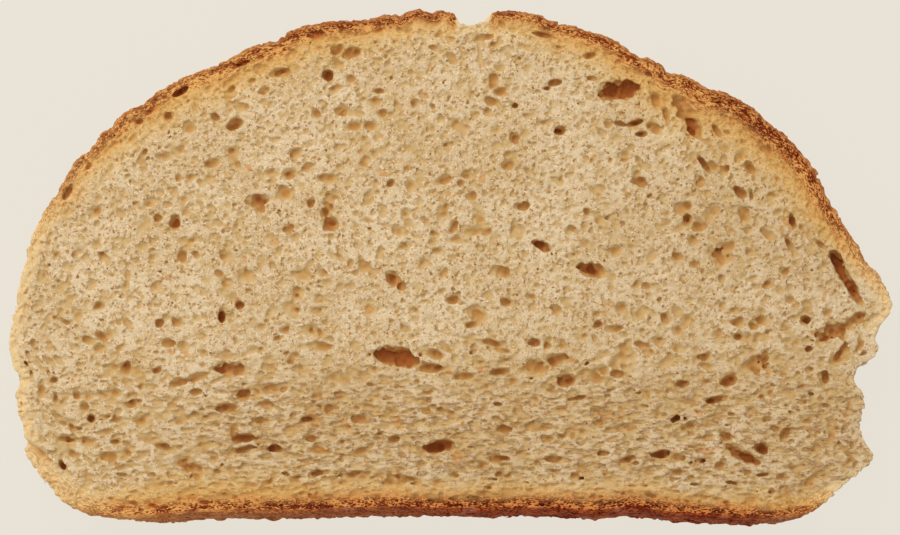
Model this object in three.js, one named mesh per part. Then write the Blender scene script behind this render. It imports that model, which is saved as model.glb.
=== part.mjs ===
// One slice of a domed batch loaf, lying flat on the cut face that was its back.
// Units are millimetres and +Z is up. +X runs along the slice's width and +Y from its flat base
// to its domed top. The origin is the middle of the slice on the surface that it lies on.

import * as THREE from 'three';

// Driving dimensions
const THICKNESS = 14;        // from one knife cut to the next
const THICKNESS_STEPS = 4;   // rows of faces up the crust
const CURVE_SEGMENTS = 3;    // straight edges between two outline points
const BASE_LEAN = 1.4;       // how far the base crust swells outward below the upper cut
const LEAN_TOP_Y = -36;      // the swelling starts at this height on the slice
const LEAN_BASE_Y = -44;     // and has its full size from here down to the base
const LEAN_INNER_X = 52;     // it is full this far either side of the middle
const LEAN_OUTER_X = 68;     // and gone here, at the corners

// The slice's outline at the lower cut, clockwise from the flap at its lower left. Each stretch is
// one smooth curve through its points, and two stretches meet at a corner in the crust.

// The left side was torn from its neighbour, up to the step where the top crust begins.
const TORN_LEFT_SIDE = [
  [-76.9, -32.0], [-77.5, -29.6], [-78.3, -27.0], [-79.0, -23.4], [-78.4, -20.6], [-79.7, -17.6],
  [-80.3, -13.6], [-79.2, -8.4], [-78.4, -3.6], [-77.4, 1.0], [-76.2, 5.0], [-73.8, 10.2],
  [-71.5, 13.3], [-69.9, 16.3], [-68.0, 19.5], [-65.1, 22.0], [-64.2, 23.8], [-61.7, 25.2],
];

// The left half of the dome, with the small steps of its blistered crust
const DOME_LEFT = [
  [-61.7, 25.2], [-60.0, 27.6], [-56.4, 29.5], [-54.2, 31.1], [-48.7, 34.5], [-44.0, 36.1],
  [-40.0, 38.2], [-36.0, 40.1], [-31.5, 41.1], [-28.0, 43.4], [-22.0, 44.6], [-16.0, 44.9],
  [-11.0, 45.8], [-9.2, 45.3],
];

// The crown, where the crust split open in the oven
const DOME_CROWN = [
  [-9.2, 45.3], [-8.2, 46.1], [-5.9, 46.9], [-3.4, 46.0], [-2.3, 46.7], [0.1, 46.4], [1.2, 45.0],
  [2.6, 44.4], [5.0, 44.5], [6.9, 45.3],
];

// The right half of the dome, down to a step in the crust
const DOME_RIGHT = [
  [6.9, 45.3], [8.0, 46.4], [11.8, 46.6], [16.2, 45.9], [17.8, 44.7], [20.0, 44.4], [23.5, 43.5],
  [29.6, 41.4], [33.6, 38.7], [37.8, 37.3], [39.8, 35.1],
];

// The right shoulder, out to the widest point
const RIGHT_SHOULDER = [
  [39.8, 35.1], [43.0, 34.8], [46.3, 32.6], [49.6, 31.7], [54.2, 29.6], [58.0, 26.3], [61.8, 23.1],
  [65.7, 18.4], [68.7, 12.5], [70.5, 9.3], [73.7, 3.9], [75.9, 0.0], [77.6, -1.5], [79.6, -5.1],
  [80.2, -7.2], [79.9, -8.3],
];

// The right side, where the crust tore away with the next loaf and left two bites
const TORN_RIGHT_SIDE = [
  [79.9, -8.3], [78.9, -10.2], [77.2, -12.6], [77.4, -15.0], [76.3, -17.0], [74.0, -18.7],
  [73.3, -20.6], [74.1, -22.3], [75.3, -24.0], [75.0, -27.5], [74.6, -29.7], [75.4, -31.8],
  [76.8, -34.4],
];

// The lower right corner, the base crust and the lower left corner, up to the flap
const BASE = [
  [76.8, -34.4], [75.3, -36.5], [72.3, -39.4], [69.5, -41.4], [66.9, -43.7], [62.5, -46.0],
  [57.0, -47.0], [50.0, -46.9], [40.0, -46.4], [33.0, -45.5], [26.0, -46.1], [18.0, -45.6],
  [2.0, -45.7], [-12.0, -45.4], [-28.0, -46.0], [-42.0, -46.0], [-54.0, -46.7], [-58.5, -46.3],
  [-65.5, -45.0], [-70.0, -43.0], [-73.2, -39.4], [-76.0, -35.8], [-77.4, -33.4], [-76.9, -32.0],
];

const OUTLINE = [
  TORN_LEFT_SIDE,
  DOME_LEFT,
  DOME_CROWN,
  DOME_RIGHT,
  RIGHT_SHOULDER,
  TORN_RIGHT_SIDE,
  BASE,
];

const CRUMB_COLOUR = 0xc8a778;
const CRUMB_ROUGHNESS = 0.9;

function sliceShape() {
  const shape = new THREE.Shape();
  const [startX, startY] = OUTLINE[0][0];
  shape.moveTo(startX, startY);
  for (const stretch of OUTLINE) {
    const points = stretch.slice(1).map(([x, y]) => new THREE.Vector2(x, y));
    shape.splineThru(points);
  }
  return shape;
}

// The base crust stands out furthest at the lower cut and draws in towards the upper one.
function leanBase(geometry) {
  const position = geometry.getAttribute('position');
  for (let i = 0; i < position.count; i += 1) {
    const x = position.getX(i);
    const y = position.getY(i);
    const lowShare = 1 - THREE.MathUtils.smoothstep(y, LEAN_BASE_Y, LEAN_TOP_Y);
    const middleShare = 1 - THREE.MathUtils.smoothstep(Math.abs(x), LEAN_INNER_X, LEAN_OUTER_X);
    const rise = position.getZ(i) / THICKNESS;
    position.setY(i, y + BASE_LEAN * lowShare * middleShare * rise);
  }
  position.needsUpdate = true;
}

// Puts the middle of the slice over the origin, with its lower cut on z = 0.
function centre(geometry) {
  geometry.computeBoundingBox();
  const { min, max } = geometry.boundingBox;
  geometry.translate(-(min.x + max.x) / 2, -(min.y + max.y) / 2, -min.z);
}

function breadSlice() {
  const geometry = new THREE.ExtrudeGeometry(sliceShape(), {
    depth: THICKNESS,
    steps: THICKNESS_STEPS,
    curveSegments: CURVE_SEGMENTS,
    bevelEnabled: false,
  });
  leanBase(geometry);
  centre(geometry);
  geometry.computeVertexNormals();
  const material = new THREE.MeshStandardMaterial({
    color: CRUMB_COLOUR,
    roughness: CRUMB_ROUGHNESS,
    metalness: 0,
  });
  const mesh = new THREE.Mesh(geometry, material);
  mesh.name = 'bread_slice';
  return mesh;
}

const slice = new THREE.Group();
slice.add(breadSlice());

export default slice;
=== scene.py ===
"""One slice of bread, lying on its lower cut face, seen from almost straight above.

The crumb is a distance field on a grid of small cells. It starts as the CAD solid's own outline
between its two cuts, its skin is roughened, and pores are carved into both cut faces and the torn
sides. The field is meshed, and each point carries how deep it lies, how far it is from the crust
and how well the crust there was baked, which the material turns into colour. Lengths are in
millimetres here, and the mesh is scaled to metres at the end.
"""

import math

import bpy
import numpy as np
import openvdb
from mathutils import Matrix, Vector


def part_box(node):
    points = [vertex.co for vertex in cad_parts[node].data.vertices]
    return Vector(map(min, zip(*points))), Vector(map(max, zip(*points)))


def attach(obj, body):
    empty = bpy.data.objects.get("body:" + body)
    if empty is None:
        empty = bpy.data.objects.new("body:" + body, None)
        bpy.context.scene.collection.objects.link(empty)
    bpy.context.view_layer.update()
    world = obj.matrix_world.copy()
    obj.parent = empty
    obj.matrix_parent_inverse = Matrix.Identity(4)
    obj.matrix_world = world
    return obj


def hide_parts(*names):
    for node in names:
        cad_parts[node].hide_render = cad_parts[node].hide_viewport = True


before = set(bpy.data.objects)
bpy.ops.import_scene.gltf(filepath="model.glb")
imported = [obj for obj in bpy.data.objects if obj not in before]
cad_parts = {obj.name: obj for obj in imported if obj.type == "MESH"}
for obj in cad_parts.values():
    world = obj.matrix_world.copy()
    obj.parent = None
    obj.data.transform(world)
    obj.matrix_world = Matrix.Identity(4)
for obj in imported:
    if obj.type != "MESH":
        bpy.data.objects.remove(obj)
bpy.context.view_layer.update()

NODE = "bread_slice"
MM = 0.001

# The grid that the bread is carved on, in mm
CELL = 0.2              # size of a cell across the slice
CELL_Z = 0.2            # and through its thickness
MARGIN = 2.5            # empty space all round the slice
SEED = 20               # of everything that is random

low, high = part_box(NODE)
WIDTH = (high.x - low.x) / MM
DEPTH = (high.y - low.y) / MM
THICK = (high.z - low.z) / MM

# How well the crust is baked round the slice:
# compass angle in degrees from +X, bake from 0 to 1, thickness of the crust in mm
BAKE_ROUND = [
    (-180, 0.24, 1.0),
    (-170, 0.22, 1.0),
    (-157, 0.26, 1.0),
    (-154, 0.32, 1.6),
    (-148, 0.38, 2.4),
    (-144, 0.58, 2.8),
    (-138, 0.74, 2.8),
    (-120, 0.84, 2.8),
    (-95, 0.93, 2.7),
    (-75, 0.99, 2.8),
    (-50, 1.00, 2.8),
    (-42, 0.95, 2.5),
    (-36, 0.80, 2.3),
    (-33, 0.50, 1.8),
    (-29, 0.12, 1.0),
    (-20, 0.08, 0.6),
    (-10, 0.08, 0.6),
    (-6, 0.25, 1.0),
    (0, 0.46, 1.5),
    (8, 0.64, 3.0),
    (20, 0.77, 4.2),
    (33, 0.72, 4.3),
    (41, 0.64, 3.4),
    (60, 0.68, 2.6),
    (79.5, 0.78, 1.8),
    (81.5, 0.15, 1.0),
    (88, 0.15, 1.0),
    (89.5, 0.78, 1.8),
    (110, 0.73, 2.4),
    (125, 0.70, 2.9),
    (145, 0.60, 3.0),
    (160, 0.58, 2.5),
    (170, 0.46, 1.8),
    (176, 0.34, 1.2),
    (180, 0.24, 1.0),
]

# The largest pores in the upper cut face, in mm and degrees:
# x, y, half length, half width, angle, depth
LARGE_PORES = [
    (31.0, 32.3, 3.9, 1.7, 8, 3.15),
    (-9.8, -16.5, 3.8, 1.8, -8, 3),
    (16.0, -18.3, 3.0, 1.8, 4, 1.5),
    (19.4, -16.9, 2.4, 0.9, 14, 1.9),
    (26.0, -0.6, 3.1, 1.3, -12, 2.4),
    (-39.3, -18.7, 3.8, 1.1, 0, 1.95),
    (-49.2, -21.1, 1.9, 0.6, 4, 1.65),
    (-46.4, -20.3, 1.8, 0.8, 22, 1.35),
    (-46.3, -22.8, 1.1, 0.6, 5, 1.35),
    (-32.2, -22.2, 2.0, 0.9, 5, 1.35),
    (-40.8, -25.8, 1.6, 0.8, 5, 1.5),
    (-37.7, -23.3, 1.2, 1.0, 0, 1.95),
    (-22.6, 10.4, 1.3, 1.7, 0, 1.65),
    (-22.2, 7.8, 1.5, 1.5, 0, 1.95),
    (53.2, -34.3, 3.5, 0.95, -30, 2.4),
    (56.8, -33.2, 1.3, 0.9, -22, 2.25),
    (38.2, -34.2, 1.6, 0.7, 6, 2.25),
    (41.0, -34.8, 2.2, 0.7, -6, 1.05),
    (32.2, -35.1, 1.8, 0.6, 22, 1.5),
    (-2.1, -32.7, 2.4, 1.1, 5, 3.15),
    (-32.0, -33.1, 1.5, 0.65, 0, 2.7),
    (-37.7, -31.3, 2.2, 0.65, 8, 2.1),
    (-38.6, -33.6, 3.1, 0.6, 16, 1.35),
    (-16.7, -33.8, 2.6, 0.65, 18, 0.98),
    (19.2, -35.1, 2.3, 0.6, -3, 1.35),
    (50.8, -20.8, 1.4, 0.9, 25, 2.25),
    (42.3, -21.4, 1.3, 0.7, 12, 2.1),
    (48.5, -24.2, 1.8, 0.6, 14, 1.8),
    (64.9, -9.8, 0.95, 0.9, 0, 2.4),
    (21.1, -20.7, 1.6, 1.0, 3, 1.95),
    (9.2, -19.2, 1.9, 0.7, 10, 1.5),
    (-3.7, -18.5, 2.5, 0.8, 3, 1.5),
    (-2.6, -16.1, 1.6, 0.8, -18, 1.65),
    (2.3, -20.0, 1.8, 0.6, 3, 1.35),
    (-20.7, -20.3, 2.6, 1.2, 5, 0.9),
    (-25.3, -11.8, 2.5, 1.2, -8, 1.2),
    (-30.2, -11.6, 1.2, 0.9, 0, 0.9),
    (-23.6, -14.5, 2.2, 0.8, -5, 1.35),
    (7.4, -13.8, 1.9, 0.5, -16, 1.35),
    (9.2, -15.2, 1.8, 0.4, -12, 1.05),
    (15.2, -13.8, 1.2, 0.7, -6, 1.65),
    (29.5, -11.3, 1.6, 0.6, 6, 1.05),
    (-39.9, -16.3, 2.7, 0.7, -5, 0.68),
    (42.8, 28.9, 1.6, 3.3, 32, 1.5),
    (44.4, 26.9, 1.1, 3.2, 32, 1.9),
    (44.4, 24.9, 1.4, 0.9, -35, 2.7),
    (48.8, 24.9, 1.4, 0.5, -55, 1.35),
    (37.8, 30.6, 0.9, 1.7, 25, 1.5),
    (39.4, 28.1, 0.6, 1.8, 15, 1.2),
    (46.5, 18.7, 1.8, 0.6, -52, 2.1),
    (48.2, 18.6, 1.2, 0.6, -50, 1.35),
    (54.8, 18.2, 1.2, 0.7, -52, 1.65),
    (57.3, 21.5, 1.5, 0.7, -25, 0.83),
    (53.0, 13.6, 1.3, 0.8, -35, 1.8),
    (54.9, 13.1, 0.4, 1.1, 0, 1.2),
    (43.3, 8.5, 0.8, 1.1, 0, 1.5),
    (45.6, 7.3, 1.3, 1.2, 0, 1.35),
    (62.5, 8.4, 0.7, 1.2, 20, 1.65),
    (58.0, 6.0, 1.5, 0.7, -25, 0.98),
    (62.0, 3.8, 1.5, 0.5, -62, 1.5),
    (67.8, 4.0, 1.0, 0.4, -42, 1.2),
    (70.9, 0.5, 3.0, 1.0, -64, 3),
    (73.5, -4.1, 3.2, 0.9, -57, 2.7),
    (44.6, 0.5, 0.9, 0.7, 0, 1.05),
    (30.2, 2.8, 1.6, 1.0, -5, 1.05),
    (37.0, 2.0, 1.8, 0.9, 30, 0.6),
    (-17.8, 39.3, 1.7, 1.0, 18, 1.8),
    (-22.3, 35.1, 1.2, 1.0, 35, 2.25),
    (-18.2, 34.2, 0.8, 0.8, 60, 1.2),
    (-21.4, 32.4, 1.3, 0.8, 20, 1.05),
    (-13.1, 32.3, 1.0, 0.5, -5, 1.2),
    (-17.6, 25.8, 1.9, 0.9, 8, 0.98),
    (-14.6, 25.8, 1.3, 1.0, 0, 1.12),
    (-12.5, 28.0, 0.9, 0.9, 40, 1.12),
    (-14.0, 30.0, 1.5, 0.9, 10, 0.68),
    (20.0, 24.9, 1.1, 0.8, -5, 2.4),
    (9.0, 32.0, 1.1, 0.7, -5, 1.35),
    (7.5, 30.3, 1.2, 0.7, -15, 1.35),
    (19.2, 33.8, 1.2, 0.6, 5, 1.8),
    (17.5, 32.7, 0.7, 0.4, 0, 1.5),
    (26.0, 34.5, 1.1, 0.5, -5, 1.35),
    (25.6, 38.8, 1.1, 0.5, 12, 1.95),
    (16.6, 42.6, 2.2, 0.4, -14, 1.35),
    (11.8, 29.5, 0.6, 0.5, 0, 1.8),
    (14.2, 27.6, 1.2, 0.6, -12, 0.98),
    (17.5, 26.5, 1.6, 0.4, 10, 0.9),
    (31.3, 26.1, 1.0, 0.4, -14, 1.5),
    (34.0, 26.4, 1.5, 0.5, 14, 1.8),
    (37.3, 25.4, 1.5, 1.0, -22, 1.35),
    (35.0, 24.3, 0.9, 0.6, 0, 1.8),
    (28.0, 24.2, 1.0, 0.8, 0, 0.75),
    (3.0, 16.9, 1.2, 0.9, -5, 1.8),
    (-1.7, 15.6, 1.8, 1.0, 25, 1.12),
    (3.7, 12.9, 1.0, 1.0, 0, 1.12),
    (13.3, 11.2, 1.4, 1.1, 0, 1.5),
    (16.0, 12.5, 1.7, 0.5, -42, 0.6),
    (34.8, 15.6, 1.4, 0.9, -15, 1.65),
    (34.0, 17.0, 0.8, 0.9, 0, 1.05),
    (12.3, 6.7, 1.7, 1.5, 10, 1.12),
    (16.9, 3.7, 1.9, 0.9, -28, 2.25),
    (3.7, 6.5, 1.4, 0.9, -5, 1.2),
    (0.3, 7.4, 0.9, 1.4, 0, 1.5),
    (-9.6, 6.7, 1.4, 1.2, 0, 1.35),
    (-39.5, 26.1, 1.6, 0.9, 28, 1.95),
    (-47.9, 25.6, 1.4, 1.3, 20, 1.2),
    (-43.0, 27.4, 0.8, 0.7, -30, 1.35),
    (-43.4, 19.0, 1.5, 0.7, 20, 1.2),
    (-29.2, 17.0, 1.2, 1.0, 30, 1.2),
    (-22.6, 16.2, 1.4, 0.8, -8, 1.2),
    (-35.1, 12.0, 2.1, 1.2, 0, 1.8),
    (-34.6, 10.6, 0.9, 0.7, 0, 1.65),
    (-30.2, 13.6, 1.4, 1.3, 0, 1.2),
    (-50.4, 8.1, 1.2, 1.6, -15, 1.8),
    (-53.4, 9.0, 0.9, 1.0, -20, 1.2),
    (-56.1, 7.6, 1.1, 2.6, -30, 0.6),
    (-54.8, 11.9, 1.1, 0.9, 30, 1.12),
    (-64.9, 10.0, 1.5, 1.0, 35, 0.98),
    (-60.5, 9.6, 1.2, 1.1, 0, 0.98),
    (-49.0, 2.1, 0.8, 1.3, 10, 1.2),
    (-37.1, -1.7, 1.7, 1.5, -15, 0.98),
    (-41.7, -9.0, 0.65, 1.2, 0, 2.25),
    (-38.4, -7.2, 0.8, 0.7, 0, 1.8),
    (-10.3, -2.2, 1.5, 1.4, 0, 1.5),
    (-9.0, -3.6, 0.8, 0.8, 0, 1.8),
    (0.5, -6.1, 1.2, 0.8, -10, 1.5),
    (10.3, -6.5, 1.1, 0.8, 0, 1.35),
    (3.9, -10.6, 1.0, 0.5, 10, 1.5),
    (23.1, -24.0, 1.5, 0.4, 10, 1.65),
    (9.8, -29.6, 1.3, 0.7, 0, 1.5),
    (-25.5, -31.3, 1.3, 0.65, 0, 1.35),
    (61.8, -22.9, 1.4, 0.8, -25, 0.68),
    (48.7, -27.2, 1.1, 0.7, 0, 0.75),
    (43.6, -29.2, 1.3, 0.7, 18, 1.35),
    (59.1, -29.4, 0.8, 0.5, -30, 1.35),
    (61.0, -30.5, 1.1, 0.6, 52, 1.65),
    (49.2, -36.3, 1.0, 0.7, 0, 1.35),
    (35.0, -37.4, 3.2, 0.8, 10, 0.68),
    (56.9, -37.9, 1.6, 0.35, 8, 1.35),
    (41.2, -37.5, 1.2, 0.5, 0, 1.2),
    (52.6, -12.8, 1.2, 0.7, -5, 1.65),
    (46.6, -18.2, 1.0, 0.6, -10, 1.2),
    (62.0, -6.1, 0.9, 0.7, 0, 1.2),
    (-66.0, -13.3, 1.1, 0.7, -15, 1.12),
    (-64.0, -15.0, 1.0, 0.8, 0, 1.05),
    (-51.5, -14.0, 1.2, 0.8, -10, 1.27),
    (-53.0, -10.3, 0.8, 0.7, 0, 1.35),
    (-68.1, -23.3, 0.8, 1.0, 0, 1.2),
    (-66.4, -25.6, 0.7, 0.6, 0, 1.35),
    (-65.4, -27.6, 0.7, 0.8, 0, 2.25),
    (-52.3, -32.7, 1.2, 0.6, -5, 1.8),
    (-62.4, -34.6, 1.3, 0.8, 5, 1.35),
    (-63.0, -30.2, 1.8, 0.5, 14, 0.9),
    (-61.0, -31.9, 0.9, 0.4, 5, 1.5),
    (-72.2, -20.7, 0.6, 0.6, 0, 1.65),
    (-71.9, -23.8, 0.4, 0.9, 0, 1.65),
    (-69.0, -29.3, 0.4, 1.3, 32, 1.2),
    (-70.6, -36.4, 0.6, 1.1, 30, 2.4),
    (-49.5, 32.0, 1.6, 0.6, 30, 2.1),
    (-51.4, 27.6, 0.8, 0.8, 0, 1.8),
    (-70.0, 13.6, 1.6, 0.6, 58, 1.95),
    (-38.2, 37.2, 1.6, 0.4, 22, 1.5),
    (-56.8, 26.6, 0.7, 0.6, 0, 1.5),
]

# Torn hollows, the groove behind the flap and creases in the upper face:
# x, y, half length, half width, angle, depth, roughness
TORN_HOLLOWS = [
    (70.6, -11.6, 4.6, 1.7, 14, 1.5, 0.22),
    (68.0, -12.6, 1.8, 1.2, -5, 1.7, 0.22),
    (73.4, -10.0, 2.2, 0.9, 30, 1.6, 0.22),
    (76.8, -9.4, 1.6, 0.7, 25, 0.9, 0.20),
    (-75.1, -33.8, 2.8, 0.7, -38, 1.3, 0.08),
    (5.3, 40.2, 3.8, 0.28, 94, 0.6, 0.14),
    (4.6, -13.5, 5.4, 0.25, -13, 0.5, 0.14),
]

# The roughness of the skin in mm, for features of each size
BAKED_FINE = 0.11
BAKED_MEDIUM = 0.07
BAKED_COARSE = 0.06
BAKED_SWELL = 0.28      # a baked crust stands out this far, to make up for its pits
TORN_FINE = -0.03       # what a torn side has on top of that
TORN_MEDIUM = 0.07
TORN_COARSE = 0.14
TORN_SHRINK = 0.26      # a torn side stands out less by this
CUT_FINE = 0.05         # the two cuts
CUT_MEDIUM = 0.04
CUT_SINK = 0.12         # they lie this far inside the CAD solid's, to keep their roughness in it

# Fine pits under the surface
PIT_LEVEL = 0.70        # the noise makes a pit where it passes this
PIT_LEVEL_LOW = 0.25    # low in the loaf the level is lower by this
PIT_LEVEL_BAKED = 0.3   # and in a baked crust it is higher by this
PIT_REACH = 0.10        # below this depth in mm the level rises, so that pits end
PIT_FADE = 4.0          # by this much in each mm
PIT_DEPTH = 0.16        # mm, where the noise passes the level by 1

# The places of a pore's middle, as a share of its half height
DEEP_SUNK = 0.30        # a deep listed pore's middle lies this far below the cut
SHALLOW_SUNK = -0.25    # and a shallow one's above it
EVEN_HIGHEST = 0.93     # the highest middle of a pore that is scattered evenly
GATHERED_HIGHEST = 0.35     # and of one that gathers somewhere
HEIGHT_RANGE = 1.35     # from the highest to the lowest

# The rims of pores: how rough they are, and how far in mm they are rounded
LISTED_ROUGH = 0.15
LISTED_SOFT = 0.35
LISTED_DIP = 0.15       # spread of a listed pore's dip, in radians
SCATTERED_ROUGH = 0.26
SCATTERED_DIP = 0.35    # radians
CRUST_ROUGH = 0.2
SIDE_ROUGH = 0.15
SMALL_SOFT = 0.1

SCATTERED_INSET = 0.5   # scattered pores keep this far in from the crust's outside, in mm
FLAT_FROM = -6          # pores begin to lie flat at this height on the slice
FLAT_TO = -30           # and are fully flat from here down
NEAR_FROM = 11          # pores begin to follow the crust this far in from it
NEAR_TO = 2             # and follow it fully here
SMALL_NEAR = 4          # pores nearer to the outside than this are kept small
CRUST_PORE = 0.30       # usual half size of the pores in the cut crust
CRUST_PORE_INSET = 0.45     # they keep this far in from its outside
SIDE_PORE = 0.25        # usual half size of the pits in a baked side
TORN_PORE = 0.45        # and how much larger those in a torn side are
SIDE_CLEAR = 1.0        # pores in the sides keep this far from both cuts

# Pores scattered over each cut face, with sizes in mm:
# how many, usual half size, spread of sizes, smallest and largest half size, largest half height
BIG_PORES = (120, 1.15, 0.25, 0.8, 1.9, 1.2)
MIDDLE_PORES = (2250, 0.64, 0.28, 0.4, 1.1, 0.9)
SMALL_PORES = (6000, 0.38, 0.22, 0.25, 0.6, 0.6)
DEEP_PORES = (740, 0.45, 0.3, 0.3, 0.85, 1.2)
LOW_PORES = (560, 0.62, 0.28, 0.4, 1.1, 0.9)
LOW_SMALL_PORES = (3200, 0.36, 0.25, 0.26, 0.6, 0.7)
CRUST_PORES = 2400      # in the crust of each cut face
SIDE_PORES = 900        # round the sides

rng = np.random.default_rng(SEED)


def smoothstep(start, end, value):
    t = np.clip((value - start) / (end - start), 0, 1)
    return t * t * (3 - 2 * t)


# The grid -----------------------------------------------------------------------------------------

def grid_line(size_from, size_to, cell):
    count = int(math.ceil((size_to - size_from + 2 * MARGIN) / cell))
    return (size_from - MARGIN + cell * np.arange(count)).astype(np.float32)


grid_x = grid_line(-WIDTH / 2, WIDTH / 2, CELL)
grid_y = grid_line(-DEPTH / 2, DEPTH / 2, CELL)
grid_z = grid_line(0, THICK, CELL_Z)
SHAPE = (len(grid_x), len(grid_y), len(grid_z))


def smooth_along(field, axis, line, spacing):
    """Draws a smooth curve along one axis through knots a spacing apart, at each grid line."""
    place = (line - line[0]) / spacing
    knot = np.floor(place).astype(int)
    t = place - knot
    weights = (
        (1 - t) ** 3 / 6,
        (3 * t ** 3 - 6 * t ** 2 + 4) / 6,
        (-3 * t ** 3 + 3 * t ** 2 + 3 * t + 1) / 6,
        t ** 3 / 6,
    )
    shape = [1, 1, 1]
    shape[axis] = -1
    total = 0.0
    for step, weight in enumerate(weights):
        weight = weight.astype(np.float32).reshape(shape)
        total = total + weight * np.take(field, knot + step, axis)
    return total


def smooth_noise(*spacings):
    """Smooth random field with a mean of 0, a spread of 1 and features of those sizes in mm."""
    lines = (grid_x, grid_y, grid_z)
    knots = [
        int((line[-1] - line[0]) / spacing) + 4
        for line, spacing in zip(lines, spacings)
    ]
    field = rng.standard_normal(knots, np.float32)
    for axis in range(3):
        field = smooth_along(field, axis, lines[axis], spacings[axis])
    return field / field.std()


# The outline --------------------------------------------------------------------------------------

def cut_outline(height):
    """The CAD solid's outline at one of its two cuts, as a closed loop of points."""
    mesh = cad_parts[NODE].data
    mesh.calc_loop_triangles()
    points = np.empty(len(mesh.vertices) * 3, np.float32)
    mesh.vertices.foreach_get("co", points)
    points = points.reshape(-1, 3) / MM
    corners = np.empty(len(mesh.loop_triangles) * 3, np.int32)
    mesh.loop_triangles.foreach_get("vertices", corners)
    corners = corners.reshape(-1, 3)
    on_cut = np.abs(points[:, 2] - height) < 0.01
    side_faces = corners[on_cut[corners].sum(axis=1) == 2]
    following = {}
    for face in side_faces:
        for a, b in zip(face, np.roll(face, -1)):
            if on_cut[a] and on_cut[b]:
                start = tuple(np.round(points[a, :2], 3))
                following[start] = tuple(np.round(points[b, :2], 3))
    loop = [next(iter(following))]
    while following[loop[-1]] != loop[0]:
        loop.append(following[loop[-1]])
    return np.array(loop, np.float32)


def distance_to_loop(loop):
    """Distance from each point of the slice's plane to a loop, negative inside, and the distance
    along the loop to the nearest place on it."""
    x, y = np.meshgrid(grid_x, grid_y, indexing="ij")
    nearest = np.full(x.shape, np.inf, np.float32)
    along = np.zeros(x.shape, np.float32)
    inside = np.zeros(x.shape, bool)
    travelled = 0.0
    for (ax, ay), (bx, by) in zip(loop, np.roll(loop, -1, axis=0)):
        edge_x = bx - ax
        edge_y = by - ay
        length = math.hypot(edge_x, edge_y)
        t = np.clip(((x - ax) * edge_x + (y - ay) * edge_y) / length ** 2, 0, 1)
        squared = (x - ax - t * edge_x) ** 2 + (y - ay - t * edge_y) ** 2
        closer = squared < nearest
        nearest = np.where(closer, squared, nearest)
        along = np.where(closer, travelled + t * length, along)
        travelled += length
        if ay != by:
            crossing = ax + (y - ay) * edge_x / edge_y
            inside ^= ((ay > y) != (by > y)) & (x < crossing)
    distance = np.sqrt(nearest)
    return np.where(inside, -distance, distance), along


lower_distance, _ = distance_to_loop(cut_outline(0.0))
upper_distance, along_crust = distance_to_loop(cut_outline(THICK))

plane_x, plane_y = np.meshgrid(grid_x, grid_y, indexing="ij")
compass = np.degrees(np.arctan2(plane_y, plane_x))
bake_angles = [row[0] for row in BAKE_ROUND]
bake_here = np.interp(compass, bake_angles, [row[1] for row in BAKE_ROUND])
crust_thick = np.interp(compass, bake_angles, [row[2] for row in BAKE_ROUND])

# A side with hardly any bake was torn from its neighbour
torn_here = 1 - smoothstep(0.10, 0.35, bake_here)

# The crumb is denser and darker low in the loaf; painted shade darkens it a little to the right
dense_and_shade_here = smoothstep(-14, -27, plane_y) * smoothstep(-66, -30, plane_x)
dense_and_shade_here = np.maximum(dense_and_shade_here, 0.25 * smoothstep(0, 60, plane_x))

# Small deep pores gather low in the loaf and beside the torn sides
beside_torn = smoothstep(0.40, 0.30, bake_here) * smoothstep(-15, -8, upper_distance)
beside_torn = beside_torn * smoothstep(8, -6, plane_y)
deep_pores_here = np.maximum(0.55 * smoothstep(-4, -20, plane_y), beside_torn)

# Others gather low in the loaf, clear of the crust, or are spread evenly
low_here = smoothstep(-10, -20, plane_y) * smoothstep(-2.5, -5.0, upper_distance)
everywhere = np.ones_like(plane_x)

# Direction along the crust, from the slope of the distance to it
slope_x, slope_y = np.gradient(upper_distance, CELL)
crust_angle = np.arctan2(-slope_x, slope_y)


# Scattered pores keep clear of the listed ones
listed_x = np.array([row[0] for row in LARGE_PORES])
listed_y = np.array([row[1] for row in LARGE_PORES])
listed_reach = np.array([max(row[2], row[3]) for row in LARGE_PORES])


def plane_index(x, y):
    """The grid indices nearest to places in the slice's plane."""
    i = np.clip(np.round((x - grid_x[0]) / CELL), 0, SHAPE[0] - 1).astype(int)
    j = np.clip(np.round((y - grid_y[0]) / CELL), 0, SHAPE[1] - 1).astype(int)
    return i, j


# The block of bread -------------------------------------------------------------------------------

def bread_block(fine, medium, coarse):
    """Distance field of the slice before its pores: two knife cuts and a rough crust between."""
    share = (grid_z / THICK)[None, None, :]
    torn = torn_here.astype(np.float32)[:, :, None]
    side = lower_distance[:, :, None] * (1 - share) + upper_distance[:, :, None] * share
    side = side + (BAKED_MEDIUM + TORN_MEDIUM * torn) * medium
    side = side + (BAKED_FINE + TORN_FINE * torn) * fine
    side = side + (BAKED_COARSE + TORN_COARSE * torn) * coarse
    side = side - BAKED_SWELL + TORN_SHRINK * torn
    above = grid_z[None, None, :] - THICK
    below = -grid_z[None, None, :]
    top = above + CUT_FINE * fine + CUT_MEDIUM * medium + CUT_SINK
    under = below + CUT_FINE * fine + CUT_MEDIUM * medium + CUT_SINK
    return np.maximum(side, np.maximum(top, under))


def pit(block, round_pits, flat_pits):
    """Takes fine irregular pits out of every surface, flat ones low in the loaf."""
    flat = smoothstep(-6, -24, plane_y).astype(np.float32)[:, :, None]
    inset = np.clip(-upper_distance / crust_thick, 0, 1)
    baked = (bake_here * (1 - smoothstep(0.7, 1.0, inset))).astype(np.float32)[:, :, None]
    pits = round_pits * (1 - flat) + flat_pits * flat
    buried = np.maximum(-block - PIT_REACH, 0)
    level = PIT_LEVEL - PIT_LEVEL_LOW * flat + PIT_FADE * buried + PIT_LEVEL_BAKED * baked
    return np.maximum(block, (pits - level) * PIT_DEPTH)


# Pores --------------------------------------------------------------------------------------------

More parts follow.
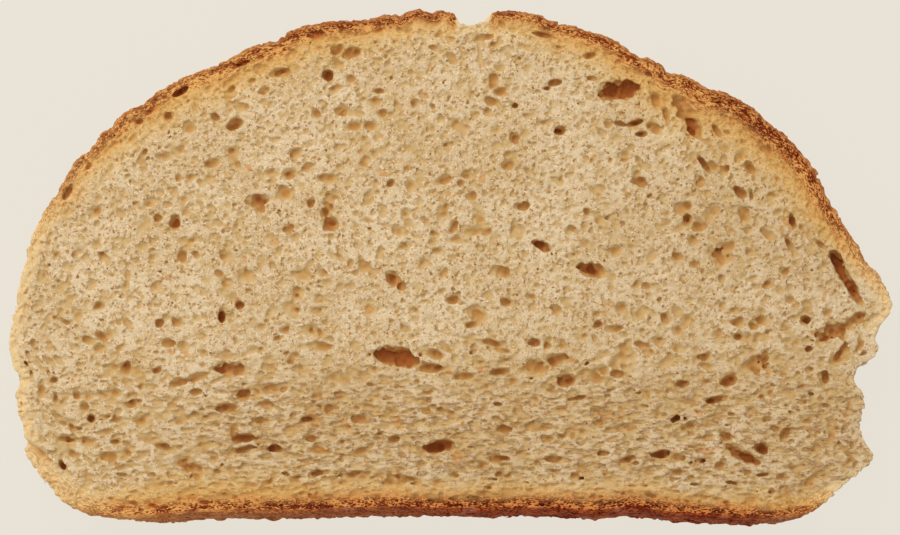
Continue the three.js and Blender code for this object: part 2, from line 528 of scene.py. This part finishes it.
def turn(angle, dip):
    """Rows are a pore's long, short and deep axes, turned in the plane and then dipped."""
    ca = math.cos(angle)
    sa = math.sin(angle)
    cd = math.cos(dip)
    sd = math.sin(dip)
    return ((ca * cd, sa * cd, -sd), (-sa, ca, 0.0), (ca * sd, sa * sd, cd))


def carve(field, noise, centre, radii, axes, rough, soft):
    """Takes one rough-edged ellipsoid out of the bread and rounds its rim."""
    spans = []
    for axis, line, cell in zip(range(3), (grid_x, grid_y, grid_z), (CELL, CELL, CELL_Z)):
        reach = math.sqrt(sum((axes[k][axis] * radii[k]) ** 2 for k in range(3)))
        reach = reach * (1 + rough) + 2 * cell
        first = max(int((centre[axis] - reach - line[0]) / cell), 0)
        last = min(int((centre[axis] + reach - line[0]) / cell) + 2, len(line))
        if first >= last:
            return
        spans.append(slice(first, last))
    dx = (grid_x[spans[0]] - centre[0])[:, None, None]
    dy = (grid_y[spans[1]] - centre[1])[None, :, None]
    dz = (grid_z[spans[2]] - centre[2])[None, None, :]
    squared = 0.0
    for (wx, wy, wz), radius in zip(axes, radii):
        squared = squared + ((wx * dx + wy * dy + wz * dz) / radius) ** 2
    block = field[spans[0], spans[1], spans[2]]
    bumps = noise[spans[0], spans[1], spans[2]]
    hollow = (1 - np.sqrt(squared) - rough * bumps) * min(radii)
    meeting = np.maximum(1 - np.abs(block - hollow) / soft, 0)
    np.maximum(block, hollow, out=block)
    block += 0.25 * soft * meeting * meeting


def carve_mouth(field, noise, mouth, dip, rough):
    """A pore given by its mouth in the upper cut and its depth. Deep ones widen below the cut."""
    x, y, length, width, angle, depth = mouth
    sunk = DEEP_SUNK if depth > 1.4 * width else SHALLOW_SUNK
    spread = 1 / math.sqrt(1 - sunk ** 2)
    tall = depth / (1 + sunk)
    z = THICK - sunk * tall
    radii = (length * spread, width * spread, tall)
    carve(field, noise, (x, y, z), radii, turn(math.radians(angle), dip), rough, LISTED_SOFT)


def carve_random(field, noise, likely, pores, face):
    """Scatters pores over a cut face, lying flat low in the loaf and along the crust near it."""
    count, usual, spread, smallest, largest, deepest = pores
    tries = count * 2
    xs = rng.uniform(-WIDTH / 2, WIDTH / 2, tries)
    ys = rng.uniform(-DEPTH / 2, DEPTH / 2, tries)
    i, j = plane_index(xs, ys)
    edge = -upper_distance[i, j]
    lucky = rng.uniform(0, 1, tries) < likely[i, j]
    keep = np.flatnonzero((edge > SCATTERED_INSET) & lucky)[:count]
    sizes = np.exp(rng.normal(math.log(usual), spread, tries)).clip(smallest, largest)
    turns = rng.normal(0, 1, tries)
    stretch = rng.uniform(0, 1, tries)
    highest = EVEN_HIGHEST if likely is everywhere else GATHERED_HIGHEST
    heights = highest - HEIGHT_RANGE * rng.uniform(0, 1, tries) ** 2
    dips = rng.normal(0, SCATTERED_DIP, tries)
    squash = rng.uniform(0.75, 1.25, tries)
    for n in keep:
        x = xs[n]
        y = ys[n]
        gap = edge[n]
        size = sizes[n]
        room = np.min(np.hypot(listed_x - x, listed_y - y) - listed_reach)
        if face > 0 and size > 0.5 and room < 0.7 * size:
            continue
        flat = float(smoothstep(FLAT_FROM, FLAT_TO, y))
        near = float(smoothstep(NEAR_FROM, NEAR_TO, gap))
        aspect = 1 + 0.45 * stretch[n]
        aspect = aspect + flat * (0.5 + 0.9 * stretch[n])
        aspect = aspect + near * (0.5 + 0.8 * stretch[n])
        if gap < SMALL_NEAR:
            size = min(size, 0.35 + 0.13 * gap)
        tangent = crust_angle[i[n], j[n]]
        wander = turns[n] * (0.75 - 0.5 * max(flat, near))
        level = 0.3 * turns[n] * (1 - flat)
        # Doubled angles mix well, because a pore turned half round is the same pore
        angle = math.atan2(
            math.sin(2 * tangent) * near + math.sin(2 * level) * (1 - near),
            math.cos(2 * tangent) * near + math.cos(2 * level) * (1 - near),
        ) / 2 + wander * 0.5
        length = size * math.sqrt(aspect)
        width = size / math.sqrt(aspect)
        tall = min(size * squash[n], deepest)
        offset = heights[n] * tall
        z = THICK + offset if face > 0 else -offset
        radii = (length, width, tall)
        axes = turn(angle, dips[n])
        carve(field, noise, (x, y, z), radii, axes, SCATTERED_ROUGH, 0.5 * size)


def carve_crust(field, noise, face):
    """Small flat pores in the cut crust, drawn out along it."""
    tries = CRUST_PORES * 12
    xs = rng.uniform(-WIDTH / 2, WIDTH / 2, tries)
    ys = rng.uniform(-DEPTH / 2, DEPTH / 2, tries)
    i, j = plane_index(xs, ys)
    edge = -upper_distance[i, j]
    thick = crust_thick[i, j]
    in_crust = (edge > CRUST_PORE_INSET) & (edge < 1.3 * thick)
    keep = np.flatnonzero(in_crust & (bake_here[i, j] > 0.3))[:CRUST_PORES]
    for n in keep:
        size = CRUST_PORE * math.exp(rng.normal(0, 0.25))
        aspect = rng.uniform(1.3, 3.0)
        radii = (size * math.sqrt(aspect), size / math.sqrt(aspect) * 1.1, size)
        z = rng.uniform(-0.5, 0.4) * size
        z = THICK + z if face > 0 else -z
        angle = crust_angle[i[n], j[n]] + rng.normal(0, 0.35)
        centre = (xs[n], ys[n], z)
        carve(field, noise, centre, radii, turn(angle, 0.0), CRUST_ROUGH, SMALL_SOFT)


def carve_sides(field, noise):
    """Pores in the torn sides and small pits in the baked crust."""
    loop = cut_outline(THICK)
    for place in rng.choice(len(loop), SIDE_PORES):
        ax, ay = loop[place]
        bx, by = loop[(place + 1) % len(loop)]
        t = rng.uniform()
        x = ax + t * (bx - ax)
        y = ay + t * (by - ay)
        i, j = plane_index(x, y)
        torn = float(torn_here[i, j])
        size = (SIDE_PORE + TORN_PORE * torn) * math.exp(rng.normal(0, 0.35))
        z = rng.uniform(SIDE_CLEAR, THICK - SIDE_CLEAR)
        angle = math.atan2(by - ay, bx - ax)
        radii = (size * 1.5, size * 0.8, size)
        carve(field, noise, (x, y, z), radii, turn(angle, 0.0), SIDE_ROUGH, SMALL_SOFT)


def carve_all(field, fine, medium):
    """Takes every pore out of the bread. The upper cut is face 1 and the lower one face -1."""
    rough = 0.55 * medium + 0.65 * fine
    for mouth in LARGE_PORES:
        carve_mouth(field, rough, mouth, rng.normal(0, LISTED_DIP), LISTED_ROUGH)
    for *mouth, roughness in TORN_HOLLOWS:
        carve_mouth(field, rough, mouth, 0.0, roughness)
    for face in (1, -1):
        carve_random(field, rough, everywhere, BIG_PORES, face)
        carve_random(field, rough, everywhere, MIDDLE_PORES, face)
        carve_random(field, fine, everywhere, SMALL_PORES, face)
        carve_random(field, fine, deep_pores_here, DEEP_PORES, face)
        carve_random(field, rough, low_here, LOW_PORES, face)
        carve_random(field, fine, low_here, LOW_SMALL_PORES, face)
        carve_crust(field, fine, face)
    carve_sides(field, fine)


# Mesh ---------------------------------------------------------------------------------------------

def largest_piece(points, quads):
    """Keeps the largest connected surface, without sealed pores and loose crumbs."""
    label = np.arange(len(points))
    edges = np.concatenate([quads[:, (0, 1)], quads[:, (1, 2)], quads[:, (2, 3)]])
    while True:
        least = np.minimum(label[edges[:, 0]], label[edges[:, 1]])
        fresh = label.copy()
        np.minimum.at(fresh, label[edges[:, 0]], least)
        np.minimum.at(fresh, label[edges[:, 1]], least)
        fresh = fresh[fresh]
        while True:
            jumped = fresh[fresh]
            if np.array_equal(jumped, fresh):
                break
            fresh = jumped
        fresh = fresh[label]
        if np.array_equal(fresh, label):
            break
        label = fresh
    counts = np.bincount(label)
    keep = label == np.argmax(counts)
    number = np.cumsum(keep) - 1
    return points[keep], number[quads[keep[quads[:, 0]]]]


def sample(field, points):
    """Value of a grid field at points in mm."""
    place = (points - (grid_x[0], grid_y[0], grid_z[0])) / (CELL, CELL, CELL_Z)
    corner = np.clip(np.floor(place).astype(int), 0, np.array(SHAPE) - 2)
    t = np.clip(place - corner, 0, 1).astype(np.float32)
    i, j, k = corner.T
    total = 0.0
    for a in (0, 1):
        for b in (0, 1):
            for c in (0, 1):
                weight = 1.0
                for step, part in zip((a, b, c), t.T):
                    weight = weight * (part if step else 1 - part)
                total = total + weight * field[i + a, j + b, k + c]
    return total


def sample_plane(field, points):
    """Value of a field of the slice's plane at points in mm."""
    place = (points[:, :2] - (grid_x[0], grid_y[0])) / CELL
    corner = np.clip(np.floor(place).astype(int), 0, np.array(SHAPE[:2]) - 2)
    t, u = np.clip(place - corner, 0, 1).T
    i, j = corner.T
    return (
        field[i, j] * (1 - t) * (1 - u)
        + field[i + 1, j] * t * (1 - u)
        + field[i, j + 1] * (1 - t) * u
        + field[i + 1, j + 1] * t * u
    )


def mesh_from_field(field):
    """Points in mm and four-cornered faces of the field's zero surface."""
    grid = openvdb.FloatGrid(3 * CELL)
    grid.copyFromArray(np.clip(field, -3 * CELL, 3 * CELL))
    places, quads = grid.convertToQuads(isovalue=0.0)
    points = places * (CELL, CELL, CELL_Z) + (grid_x[0], grid_y[0], grid_z[0])
    return largest_piece(points.astype(np.float32), quads.astype(np.int64))


# The UV map, in mm before it is scaled to a square
FACE_GAP = 3            # between the two cut faces
RIM_GAP = 4             # between the faces and the rim
STRIP_GAP = 2           # between the rim's strips
STRIPS = 2              # how many strips the rim is cut into
RIM_INSET = 0.8         # faces less deep than this and not at a cut belong to the rim
RIM_CLEAR = 0.5         # and lie this far from both cuts


def lay_out(piece, values):
    """Gives the piece a UV map of its two cut faces, one above the other, and its rim beside them.

    A pore's wall stands upright, so it is moved towards the pore's middle to have some width.
    """
    mesh = piece.data
    count = len(mesh.vertices)
    points = np.empty(count * 3, np.float32)
    mesh.vertices.foreach_get("co", points)
    points = points.reshape(-1, 3) / MM
    normals = np.empty(count * 3, np.float32)
    mesh.vertex_normals.foreach_get("vector", normals)
    normals = normals.reshape(-1, 3)
    inward = np.clip(values["sunk"], 0, 3)[:, None] * 0.3 * normals[:, :2]
    flat = points[:, :2] + inward + (WIDTH / 2 + 1, DEPTH / 2 + 1)
    scale = 1 / (2 * (DEPTH + FACE_GAP))
    strip_length = values["along"].max() / STRIPS
    strip = np.minimum(values["along"] // strip_length, STRIPS - 1)

    corners = np.empty(len(mesh.loops), np.int32)
    mesh.loops.foreach_get("vertex_index", corners)
    quads = corners.reshape(-1, 4)
    middle = points[quads].mean(axis=1)
    inset = values["edge"][quads].mean(axis=1)
    height = middle[:, 2]
    on_rim = (inset < RIM_INSET) & (height > RIM_CLEAR) & (height < THICK - RIM_CLEAR)
    on_top = height > THICK / 2

    uv = flat[quads] * scale
    uv[on_top, :, 1] += 0.5
    own_strip = strip[quads[:, :1]]
    run = values["along"][quads] - own_strip * strip_length
    column = WIDTH + RIM_GAP + own_strip * (THICK + STRIP_GAP) + points[quads][:, :, 2]
    rim = np.stack([column * scale, np.clip(run / strip_length, 0, 1)], axis=2)
    uv[on_rim] = rim[on_rim]
    layer = mesh.uv_layers.new(name="OFBake")
    layer.uv.foreach_set("vector", uv.astype(np.float32).ravel())


def make_piece(name, points, quads, values):
    """A smooth mesh of four-cornered faces, with the values as attributes of its points."""
    mesh = bpy.data.meshes.new(name)
    mesh.vertices.add(len(points))
    mesh.vertices.foreach_set("co", (points * MM).astype(np.float32).ravel())
    mesh.loops.add(quads.size)
    mesh.loops.foreach_set("vertex_index", quads.astype(np.int32).ravel())
    mesh.polygons.add(len(quads))
    mesh.polygons.foreach_set("loop_start", np.arange(0, quads.size, 4, dtype=np.int32))
    mesh.update(calc_edges=True)
    mesh.shade_smooth()
    for key, numbers in values.items():
        layer = mesh.attributes.new(key, "FLOAT", "POINT")
        layer.data.foreach_set("value", np.asarray(numbers, np.float32))
    piece = bpy.data.objects.new(name, mesh)
    bpy.context.scene.collection.objects.link(piece)
    return piece


def build_bread():
    """Carves and meshes the slice. Its values are in mm, apart from dense and bake."""
    fine = smooth_noise(0.5, 0.5, 0.5)
    medium = smooth_noise(1.2, 1.0, 1.1)
    coarse = smooth_noise(5.0, 5.0, 5.0)
    block = bread_block(fine, medium, coarse)
    round_pits = smooth_noise(0.36, 0.36, 0.36)
    flat_pits = smooth_noise(0.75, 0.32, 0.5)
    field = pit(block, round_pits, flat_pits)
    carve_all(field, fine, medium)
    points, quads = mesh_from_field(field)
    share = points[:, 2] / THICK
    lower = sample_plane(lower_distance, points)
    upper = sample_plane(upper_distance, points)
    edge = -(lower * (1 - share) + upper * share)
    values = {
        "sunk": -sample(block, points),
        "edge": edge,
        "along": sample_plane(along_crust, points),
        "dense_and_shade": sample_plane(dense_and_shade_here, points),
        "bake": sample_plane(bake_here, points),
        "crust": sample_plane(crust_thick, points),
    }
    piece = make_piece("Bread", points, quads, values)
    lay_out(piece, values)
    return piece


# Material -----------------------------------------------------------------------------------------

# The bread's colours as red, green and blue of 0 to 255
CREAM = (224, 199, 160)
CREAM_DRIFT = (211, 181, 136)
OCHRE = (204, 169, 111)
# Colours of the painted highlights on the crumb walls, where the crumb is open and where it is
# denser
HIGHLIGHT_OPEN = (243, 225, 193)
HIGHLIGHT_DENSE = (219, 191, 147)
SPECK = (172, 121, 66)
BRAN = (126, 70, 36)
PIT_WALL = (202, 167, 109)
PORE_WALL = (194, 145, 82)
BLOTCH = (206, 140, 66)
# The deepest pores: their own red-brown, together with painted shade
PORE_FLOOR_AND_SHADE = (170, 98, 45)
STRAND = (149, 100, 57)
PALE_SKIN = (240, 210, 156)
GOLD_PALE = (244, 208, 146)
GOLD_BAKED = (229, 184, 109)
GOLD_GRIT = (192, 134, 62)
HALO = (255, 241, 208)

# The crust's colours where it is lightly baked, and where it is well baked
LIGHT_TOAST = ((230, 175, 101), (217, 145, 76))
MID_TOAST = ((204, 128, 58), (158, 74, 25))
DARK_TOAST = ((128, 48, 14), (84, 12, 0))
LIGHT_SKIN = ((212, 154, 92), (170, 82, 34))
DARK_SKIN = ((176, 106, 52), (104, 26, 4))
DUST = (184, 146, 128)

CRUST_SQUEEZE = 2.2     # how much flatter than long the crust's patterns are
STREAK_SHAPE = (0.36, 1.0, 0.6)     # the streaks are drawn out along X, and a little along Z
BREAD_ROUGHNESS = 0.8
BREAD_SPECULAR = 0.12
BUMP_DEPTH = 0.25       # mm


class Nodes:
    """Short names for the shader nodes of one material."""

    def __init__(self, name):
        self.material = bpy.data.materials.new(name)
        self.material.use_nodes = True
        self.tree = self.material.node_tree
        self.tree.nodes.clear()

    def add(self, kind, **settings):
        node = self.tree.nodes.new(kind)
        for key, value in settings.items():
            setattr(node, key, value)
        return node

    def link(self, value, socket):
        if isinstance(value, bpy.types.NodeSocket):
            self.tree.links.new(value, socket)
        else:
            socket.default_value = value

    def attribute(self, name):
        return self.add("ShaderNodeAttribute", attribute_name=name).outputs["Fac"]

    def math(self, operation, a, b):
        node = self.add("ShaderNodeMath", operation=operation)
        self.link(a, node.inputs[0])
        self.link(b, node.inputs[1])
        return node.outputs[0]

    def ramp(self, value, start, end, to_start=0.0, to_end=1.0):
        node = self.add("ShaderNodeMapRange", interpolation_type="SMOOTHSTEP")
        for number, socket in zip((value, start, end, to_start, to_end), node.inputs):
            self.link(number, socket)
        return node.outputs[0]

    def mix(self, share, first, second, blend="MIX"):
        node = self.add("ShaderNodeMix", data_type="RGBA", blend_type=blend)
        self.link(share, node.inputs["Factor"])
        self.link(first, node.inputs[6])
        self.link(second, node.inputs[7])
        return node.outputs[2]

    def noise(self, vector, scale, detail=2.0, roughness=0.5):
        node = self.add("ShaderNodeTexNoise")
        self.link(vector, node.inputs["Vector"])
        node.inputs["Scale"].default_value = scale
        node.inputs["Detail"].default_value = detail
        node.inputs["Roughness"].default_value = roughness
        return node.outputs["Fac"]

    def along_crust(self, place, edge):
        """A place in mm along the crust, in from it and upward. The way in counts for more, so
        that patterns lie flat along the crust."""
        parts = self.add("ShaderNodeSeparateXYZ")
        self.link(place, parts.inputs[0])
        node = self.add("ShaderNodeCombineXYZ")
        self.link(self.attribute("along"), node.inputs[0])
        self.link(self.math("MULTIPLY", edge, CRUST_SQUEEZE), node.inputs[1])
        self.link(self.math("DIVIDE", parts.outputs[2], MM), node.inputs[2])
        return node.outputs[0]

    def stretched(self, vector, shape):
        node = self.add("ShaderNodeVectorMath", operation="MULTIPLY")
        self.link(vector, node.inputs[0])
        node.inputs[1].default_value = shape
        return node.outputs[0]

    def baked_mix(self, share, colours):
        return self.mix(share, linear(colours[0]), linear(colours[1]))

    def surface(self, shader):
        output = self.add("ShaderNodeOutputMaterial")
        self.link(shader.outputs["BSDF"], output.inputs["Surface"])
        return self.material


def linear(colour):
    """A colour of 0 to 255 as a shader's linear colour."""
    parts = []
    for value in colour:
        share = value / 255
        parts.append(share / 12.92 if share <= 0.04045 else ((share + 0.055) / 1.055) ** 2.4)
    return (*parts, 1.0)


def bread_material():
    n = Nodes("Bread")
    place = n.add("ShaderNodeTexCoord").outputs["Object"]
    edge = n.attribute("edge")
    sunk = n.math("MULTIPLY", n.attribute("sunk"), n.ramp(edge, 0.5, 2.5, 0.4, 1.0))
    # The crumb's own density low in the loaf, and painted shade towards the right
    dense_and_shade = n.math("MULTIPLY", n.attribute("dense_and_shade"), n.ramp(edge, 0.0, 0.9))
    bake = n.attribute("bake")
    crust = n.attribute("crust")

    # Crumb: cream walls with ochre and sandy specks and painted highlights, tan pits and pores,
    # and red-brown deep ones, darker with depth: partly their own colour, partly painted shade
    drift = n.noise(place, 70.0, 3.0)
    ochre = n.noise(place, 560.0, 2.0, 0.6)
    grain = n.noise(place, 3000.0, 2.0, 0.8)
    specks = n.noise(place, 1500.0, 3.0, 0.7)
    blotches = n.noise(place, 340.0, 1.0)
    bran = n.noise(place, 1100.0, 1.0)
    streaks = n.noise(n.stretched(place, STREAK_SHAPE), 1650.0, 3.0, 0.72)
    cream = n.mix(n.ramp(drift, 0.35, 0.65), linear(CREAM), linear(CREAM_DRIFT))
    cream = n.mix(n.ramp(ochre, 0.50, 0.64, 0.0, 0.75), cream, linear(OCHRE))
    # Painted highlights: pale glints on the crumb walls, duller where the crumb is denser
    painted_highlight = n.mix(dense_and_shade, linear(HIGHLIGHT_OPEN), linear(HIGHLIGHT_DENSE))
    open_grain = n.math("MULTIPLY", grain, n.math("SUBTRACT", 1.0, dense_and_shade))
    shade = n.math("ADD", open_grain, n.math("MULTIPLY", streaks, dense_and_shade))
    cream = n.mix(n.ramp(shade, 0.49, 0.33, 0.0, 0.78), cream, painted_highlight)
    cream = n.mix(n.ramp(specks, 0.53, 0.67, 0.0, 0.95), cream, linear(SPECK))
    cream = n.mix(n.ramp(bran, 0.71, 0.77, 0.0, 0.8), cream, linear(BRAN))
    # Colour by depth below the surface: the pits' and pores' own darker walls, and painted shade
    crumb = n.mix(n.ramp(sunk, 0.05, 0.40, 0.0, 0.85), cream, linear(PIT_WALL))
    crumb = n.mix(n.ramp(sunk, 0.4, 1.1), crumb, linear(PORE_WALL))
    crumb = n.mix(n.ramp(blotches, 0.71, 0.76, 0.0, 0.6), crumb, linear(BLOTCH))
    crumb = n.mix(n.ramp(sunk, 1.0, 2.2), crumb, linear(PORE_FLOOR_AND_SHADE))
    brown = n.math("MULTIPLY", dense_and_shade, n.ramp(streaks, 0.505, 0.585))
    calm = n.math("MULTIPLY", n.ramp(edge, 8.0, 4.0), n.ramp(bake, 0.5, 0.8))
    brown = n.math("MULTIPLY", brown, n.math("SUBTRACT", 0.55, n.math("MULTIPLY", calm, 0.25)))
    crumb = n.mix(brown, crumb, linear(STRAND))

    # A pale golden skin where the side touched its neighbour in the oven
    touched = n.math("MULTIPLY", n.ramp(bake, 0.06, 0.20), n.ramp(bake, 0.5, 0.34))
    pale = n.math("MULTIPLY", touched, n.ramp(edge, 2.6, 0.2))
    crumb = n.mix(n.math("MULTIPLY", pale, 0.8), crumb, linear(PALE_SKIN))

    # Crust: golden inside, then mottled orange-brown with dark red specks, then the skin
    flow = n.along_crust(place, edge)
    grit = n.noise(flow, 1.6, 3.0, 0.85)
    patches = n.noise(flow, 0.4, 2.0, 0.6)
    char = n.noise(flow, 2.2, 1.0)
    dust = n.noise(flow, 0.14, 3.0, 0.6)
    wander = n.math("MULTIPLY", n.math("SUBTRACT", patches, 0.5), 2.2)
    scatter = n.math("MULTIPLY", n.math("SUBTRACT", grit, 0.5), 3.4)
    depth_in = n.math("ADD", n.math("ADD", edge, wander), scatter)
    baked_depth = n.math("DIVIDE", depth_in, crust)
    golden = n.math("MULTIPLY", n.ramp(baked_depth, 2.3, 0.8), n.ramp(bake, 0.1, 0.45))
    golden = n.math("MULTIPLY", golden, n.ramp(sunk, 1.4, 0.5))
    light_gold = n.mix(n.ramp(bake, 0.35, 0.65), linear(GOLD_PALE), linear(GOLD_BAKED))
    golden_colour = n.mix(n.ramp(grit, 0.46, 0.60), light_gold, linear(GOLD_GRIT))
    domed = n.math("MULTIPLY", n.ramp(bake, 0.30, 0.55), n.ramp(bake, 0.90, 0.75))
    halo = n.math("MULTIPLY", domed, n.ramp(baked_depth, 3.8, 1.2))
    halo = n.math("MULTIPLY", halo, n.ramp(sunk, 1.6, 0.5))
    crumb = n.mix(n.math("MULTIPLY", halo, 0.75), crumb, linear(HALO), "MULTIPLY")
    bread = n.mix(n.math("MULTIPLY", golden, 0.8), crumb, golden_colour)
    toasted = n.math("MULTIPLY", n.ramp(baked_depth, 1.35, 0.45), n.ramp(bake, 0.25, 0.7))
    well = n.ramp(bake, 0.55, 1.0)
    mottle = n.math("ADD", n.math("MULTIPLY", patches, 0.50), n.math("MULTIPLY", grit, 0.66))
    mottle = n.math("ADD", mottle, n.math("MULTIPLY", n.math("SUBTRACT", char, 0.5), 0.45))
    mottle = n.math("ADD", mottle, n.ramp(n.math("DIVIDE", edge, crust), 0.1, 1.1, -0.065, -0.12))
    light_toast = n.baked_mix(well, LIGHT_TOAST)
    mid_toast = n.baked_mix(well, MID_TOAST)
    dark_toast = n.baked_mix(well, DARK_TOAST)
    toast_colour = n.mix(n.ramp(mottle, 0.44, 0.50), light_toast, mid_toast)
    toast_colour = n.mix(n.ramp(mottle, 0.50, 0.55), toast_colour, dark_toast)
    # Pits in the crust are darker: partly their own colour, partly painted shade
    toast_colour = n.mix(n.ramp(sunk, 0.05, 0.6, 0.0, 0.9), toast_colour, mid_toast, "MULTIPLY")
    bread = n.mix(toasted, bread, toast_colour)
    skin = n.math("MULTIPLY", n.ramp(edge, 0.55, 0.15), n.ramp(bake, 0.3, 0.7))
    skin_colour = n.baked_mix(well, LIGHT_SKIN)
    dark_skin = n.baked_mix(well, DARK_SKIN)
    skin_colour = n.mix(n.ramp(mottle, 0.42, 0.58), skin_colour, dark_skin)
    bread = n.mix(skin, bread, skin_colour)
    dusty = n.math("MULTIPLY", n.math("MULTIPLY", skin, well), n.ramp(dust, 0.52, 0.70, 0.0, 0.28))
    bread = n.mix(dusty, bread, linear(DUST))

    shader = n.add("ShaderNodeBsdfPrincipled")
    n.link(bread, shader.inputs["Base Color"])
    shader.inputs["Roughness"].default_value = BREAD_ROUGHNESS
    shader.inputs["Specular IOR Level"].default_value = BREAD_SPECULAR
    bump = n.add("ShaderNodeBump")
    n.link(n.ramp(sunk, 0.7, 0.2, 0.1, 0.7), bump.inputs["Strength"])
    bump.inputs["Distance"].default_value = BUMP_DEPTH * MM
    n.link(grain, bump.inputs["Height"])
    n.link(bump.outputs["Normal"], shader.inputs["Normal"])
    return n.surface(shader)


# Stage --------------------------------------------------------------------------------------------

FLOOR_HALF = 3.0        # m
FLOOR_BASE = (0.050, 0.047, 0.042, 1.0)
FLOOR_GLOW = (0.766, 0.721, 0.639, 1.0)
FLOOR_ROUGHNESS = 0.9
WORLD_COLOUR = (1.0, 0.985, 0.96, 1.0)
WORLD_STRENGTH = 0.65
KEY_PLACE = (-0.28, 0.38, 0.50)     # m
KEY_SIZE = 0.6          # m
KEY_POWER = 2.80        # W
KEY_COLOUR = (1.0, 0.98, 0.95)


def floor():
    """A pale floor that is lit mostly by itself, so that it shows hardly any shadow."""
    mesh = bpy.data.meshes.new("Floor")
    half = FLOOR_HALF
    corners = [(-half, -half, 0), (half, -half, 0), (half, half, 0), (-half, half, 0)]
    mesh.from_pydata(corners, [], [(0, 1, 2, 3)])
    obj = bpy.data.objects.new("Floor", mesh)
    bpy.context.scene.collection.objects.link(obj)
    n = Nodes("Floor")
    shader = n.add("ShaderNodeBsdfPrincipled")
    shader.inputs["Base Color"].default_value = FLOOR_BASE
    shader.inputs["Roughness"].default_value = FLOOR_ROUGHNESS
    shader.inputs["Specular IOR Level"].default_value = 0.0
    shader.inputs["Emission Color"].default_value = FLOOR_GLOW
    shader.inputs["Emission Strength"].default_value = 1.0
    mesh.materials.append(n.surface(shader))


def key_light():
    """A round lamp above and beyond the left half of the dome, turned to the origin."""
    data = bpy.data.lights.new("Key", "AREA")
    data.shape = "DISK"
    data.size = KEY_SIZE
    data.energy = KEY_POWER
    data.color = KEY_COLOUR
    obj = bpy.data.objects.new("Key", data)
    obj.location = KEY_PLACE
    obj.rotation_euler = (-Vector(KEY_PLACE)).to_track_quat("-Z", "Y").to_euler()
    bpy.context.scene.collection.objects.link(obj)


def sky():
    world = bpy.data.worlds.new("World")
    world.use_nodes = True
    background = world.node_tree.nodes["Background"]
    background.inputs["Color"].default_value = WORLD_COLOUR
    background.inputs["Strength"].default_value = WORLD_STRENGTH
    bpy.context.scene.world = world


# Camera -------------------------------------------------------------------------------------------

LENS = 150.0            # mm
SENSOR = 36.0           # mm
VIEW_WIDTH = 164.2      # mm of the upper face that the picture's width shows
TILT = math.radians(3.0)
AIM = (-0.05, -0.15)    # mm, the middle of the picture on the upper face
CLIP_START = 0.01       # m
CLIP_END = 20.0         # m


def camera():
    data = bpy.data.cameras.new("Camera")
    data.lens = LENS
    data.sensor_width = SENSOR
    data.clip_start = CLIP_START
    data.clip_end = CLIP_END
    distance = VIEW_WIDTH * LENS / SENSOR
    obj = bpy.data.objects.new("Camera", data)
    target = Vector((AIM[0], AIM[1], THICK)) * MM
    offset = Vector((0, -math.sin(TILT), math.cos(TILT))) * distance * MM
    obj.location = target + offset
    obj.rotation_euler = (TILT, 0, 0)
    bpy.context.scene.collection.objects.link(obj)
    bpy.context.scene.camera = obj


bread = build_bread()
bread.data.materials.append(bread_material())
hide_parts(NODE)
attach(bread, "root")

floor()
sky()
key_light()
camera()
bpy.context.scene.view_settings.view_transform = "Standard"
bpy.context.scene.view_settings.look = "None"
